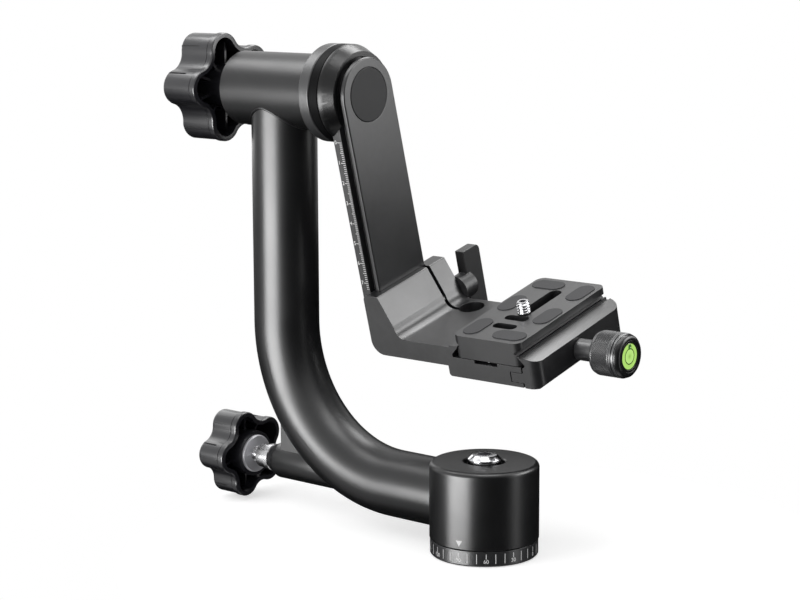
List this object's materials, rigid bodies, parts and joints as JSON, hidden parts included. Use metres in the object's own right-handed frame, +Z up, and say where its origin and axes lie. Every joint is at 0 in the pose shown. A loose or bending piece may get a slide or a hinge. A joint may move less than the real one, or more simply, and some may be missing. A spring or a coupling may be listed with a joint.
{
  "type": "gimbal tripod head",
  "caption": "Gimbal tripod head: J-shaped arm turning on a degree-marked base, swing arm on a side bearing, sliding lens platform with quick-release clamp and plate, lobed lock knobs.",
  "frame": {"origin": "centre of the tripod socket in the bottom face of the base, on the pan axis", "axes": "+Z up along the pan axis; +X along the tilt axis, from the J-shaped arm towards the clamp knob; +Y the way the lens points"},
  "size_m": [0.2332, 0.1056, 0.231],
  "materials": {
    "cast": "fine-grained satin black powder coat",
    "ring": "turned, anodised dark grey, white marks",
    "rail": "milled, bead-blasted, anodised dark grey",
    "cap": "plain black disc, bare of print",
    "lever": "cast, satin dark grey",
    "knob": "moulded, glossy black",
    "hub": "turned, satin",
    "bright": "bright plated",
    "steel": "turned or ground",
    "bronze": "turned",
    "pads": "matt dark grey rubber",
    "level": "clear vial with lime green fluid"
  },
  "bodies": {
    "base": {"base_plate": "ring", "base_pad": "pads", "pan_spindle": "steel", "tripod_bushing": "steel", "base_screws": "steel", "pan_inner_races": "steel", "pan_brake_sleeve": "bronze", "pan_top_washer": "bright", "pan_top_screw": "bright"},
    "arm": {"pan_housing": "cast", "pan_outer_races": "steel", "pan_bearing_balls": "steel", "pan_spacer": "steel", "pan_retaining_clip": "steel", "arm_tube": "cast", "tilt_housing": "cast", "tilt_end_ring": "cast", "tilt_end_plug": "hub", "tilt_outer_races": "steel", "tilt_bearing_balls": "steel", "tilt_spacer": "steel"},
    "pan_lock_plunger": {"pan_lock_rod": "steel", "pan_lock_pad": "bronze"},
    "pan_lock_handle": {"pan_lock_knob": "knob", "pan_lock_hub": "hub", "pan_lock_stud": "bright"},
    "tilt_lock_plunger": {"tilt_lock_pad": "bronze"},
    "tilt_lock_handle": {"tilt_lock_knob": "knob", "tilt_lock_hub": "hub", "tilt_lock_stud": "bright"},
    "swing_arm": {"tilt_inner_races": "steel", "tilt_inner_sleeve": "steel", "tilt_spindle": "steel", "tilt_retaining_clip": "steel", "tilt_dial_ring": "ring", "tilt_flange": "rail", "flange_screws": "steel", "swing_plate": "rail", "swing_screw": "steel", "swing_cap": "cap", "arm_stop_screw": "steel"},
    "platform": {"platform_bracket": "rail", "clamp_body": "rail", "clamp_mount_screws": "steel", "height_lever_washer": "steel"},
    "lever": {"height_lever": "lever", "height_lever_screw": "steel"},
    "jaw": {"clamp_jaw": "rail", "jaw_guide_pins": "steel"},
    "jaw_knob": {"clamp_knob": "rail", "clamp_screw": "steel", "level_cup": "hub", "level_vial": "level"},
    "lens_plate": {"quick_plate": "rail", "plate_pads": "pads", "plate_stop_screws": "steel"},
    "screw_slide": {"screw_clip": "steel"},
    "camera_bolt": {"camera_screw": "bright"}
  },
  "joints": [
    {"name": "pan", "type": "hinge", "parent": "base", "child": "arm", "pos_m": [0, 0, 0.02], "axis": [0, 0, 1], "continuous": true},
    {"name": "tilt", "type": "hinge", "parent": "arm", "child": "swing_arm", "pos_m": [-0.08, 0, 0.2048], "axis": [1, 0, 0], "continuous": true},
    {"name": "pan_lock_push", "type": "slide", "parent": "arm", "child": "pan_lock_plunger", "axis": [1, 0, 0], "range_m": [-0.00225, 0.00025]},
    {"name": "pan_lock_turn", "type": "hinge", "parent": "pan_lock_plunger", "child": "pan_lock_handle", "pos_m": [-0.15, 0, 0.02347], "axis": [1, 0, 0], "range_deg": [-540, 60]},
    {"name": "tilt_lock_push", "type": "slide", "parent": "arm", "child": "tilt_lock_plunger", "axis": [1, 0, 0], "range_m": [-0.00225, 0.00025]},
    {"name": "tilt_lock_turn", "type": "hinge", "parent": "tilt_lock_plunger", "child": "tilt_lock_handle", "pos_m": [-0.165, 0, 0.2048], "axis": [1, 0, 0], "range_deg": [-540, 60]},
    {"name": "platform_height", "type": "slide", "parent": "swing_arm", "child": "platform", "axis": [0, -0.2588, 0.9659], "range_m": [0, 0.065]},
    {"name": "height_lock_turn", "type": "hinge", "parent": "platform", "child": "lever", "pos_m": [-0.061, 0.06479, 0.10983], "axis": [0, 0.9659, 0.2588], "range_deg": [0, 150]},
    {"name": "jaw_open", "type": "slide", "parent": "platform", "child": "jaw", "axis": [1, 0, 0], "range_m": [0, 0.0035]},
    {"name": "jaw_knob_turn", "type": "hinge", "parent": "jaw", "child": "jaw_knob", "pos_m": [0.045, 0.0343, 0.09224], "axis": [1, 0, 0], "range_deg": [0, 1260]},
    {"name": "lens_plate_slide", "type": "slide", "parent": "platform", "child": "lens_plate", "axis": [0, 0.9659, 0.2588], "range_m": [-0.0028, 0.0028]},
    {"name": "camera_screw_slide", "type": "slide", "parent": "lens_plate", "child": "screw_slide", "axis": [0, 0.9659, 0.2588], "range_m": [0, 0.0235]},
    {"name": "camera_screw_turn", "type": "hinge", "parent": "screw_slide", "child": "camera_bolt", "pos_m": [0, 0.03007, 0.10415], "axis": [0, -0.2588, 0.9659], "continuous": true}
  ],
  "couplings": [
    {"joint": "pan_lock_turn", "follows": "pan_lock_push", "rad_per_m": 4188.8},
    {"joint": "tilt_lock_turn", "follows": "tilt_lock_push", "rad_per_m": 4188.8},
    {"joint": "jaw_knob_turn", "follows": "jaw_open", "rad_per_m": 6283.2}
  ]
}
